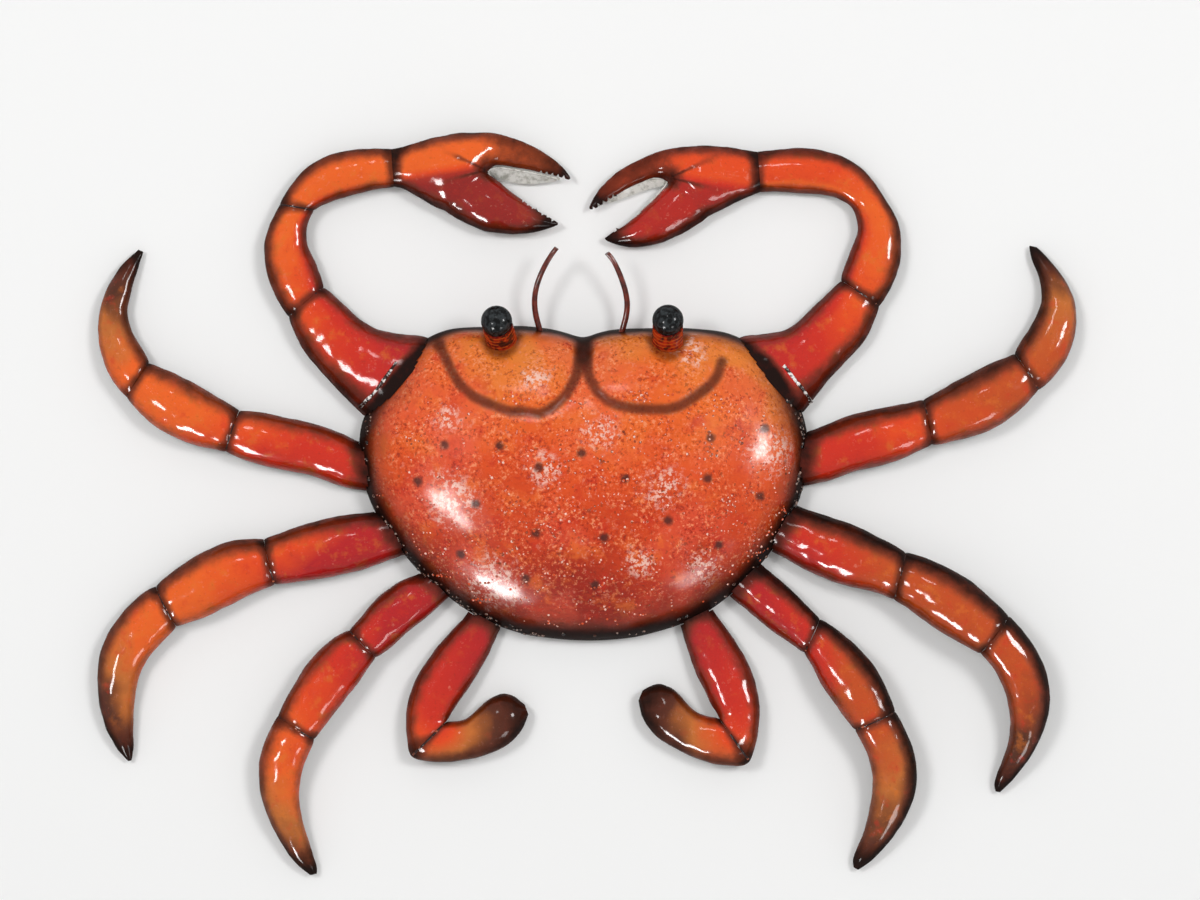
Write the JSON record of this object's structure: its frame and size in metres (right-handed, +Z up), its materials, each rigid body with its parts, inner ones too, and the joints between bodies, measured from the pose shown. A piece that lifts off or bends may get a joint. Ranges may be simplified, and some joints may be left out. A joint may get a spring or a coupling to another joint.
{
  "type": "wall hung metal crab ornament",
  "caption": "Open-backed crab of formed, welded and enamelled sheet steel, hung flat on a wall by a strap with a pin hole.",
  "frame": {"origin": "centre of the hanging hole, on the strap's face that lies against the wall", "axes": "+Y into the wall along the hanging hole, +X to the viewer's right, +Z up"},
  "size_m": [0.5071, 0.044, 0.3844],
  "materials": {
    "carapace_enamel": "gloss enamel, airbrushed orange red with a black rim",
    "arm_enamel": "gloss enamel, airbrushed red to orange",
    "claw_enamel": "gloss enamel, orange with dark edges",
    "leg_root_enamel": "gloss enamel, red to orange",
    "leg_enamel": "gloss enamel, orange to brown",
    "leg_tip_enamel": "gloss enamel, orange to black at the point",
    "eye_black": "black gloss",
    "antenna_enamel": "gloss enamel, brown red",
    "strap_steel": "plain black paint"
  },
  "bodies": {
    "root": {"carapace": "carapace_enamel", "hanger_strap": "strap_steel", "left_eye_stalk": "arm_enamel", "right_eye_stalk": "arm_enamel", "left_eye_ball": "eye_black", "right_eye_ball": "eye_black", "left_antenna": "antenna_enamel", "right_antenna": "antenna_enamel", "left_arm_shoulder": "arm_enamel", "left_arm_lower": "arm_enamel", "left_arm_upper": "arm_enamel", "right_arm_shoulder": "arm_enamel", "right_arm_forearm": "arm_enamel", "left_claw_palm": "claw_enamel", "left_claw_finger": "claw_enamel", "right_claw_palm": "claw_enamel", "right_claw_finger": "claw_enamel", "left_leg_1_upper": "leg_root_enamel", "left_leg_1_middle": "leg_enamel", "left_leg_1_tip": "leg_tip_enamel", "left_leg_2_upper": "leg_root_enamel", "left_leg_2_middle": "leg_enamel", "left_leg_2_tip": "leg_tip_enamel", "left_leg_3_upper": "leg_root_enamel", "left_leg_3_middle": "leg_enamel", "left_leg_3_tip": "leg_tip_enamel", "left_paddle_upper": "leg_root_enamel", "left_paddle_lower": "leg_enamel", "right_leg_1_upper": "leg_root_enamel", "right_leg_1_middle": "leg_enamel", "right_leg_1_tip": "leg_tip_enamel", "right_leg_2_upper": "leg_root_enamel", "right_leg_2_middle": "leg_enamel", "right_leg_2_tip": "leg_tip_enamel", "right_leg_3_upper": "leg_root_enamel", "right_leg_3_middle": "leg_enamel", "right_leg_3_tip": "leg_tip_enamel", "right_paddle_upper": "leg_root_enamel", "right_paddle_lower": "leg_enamel"}
  },
  "joints": []
}
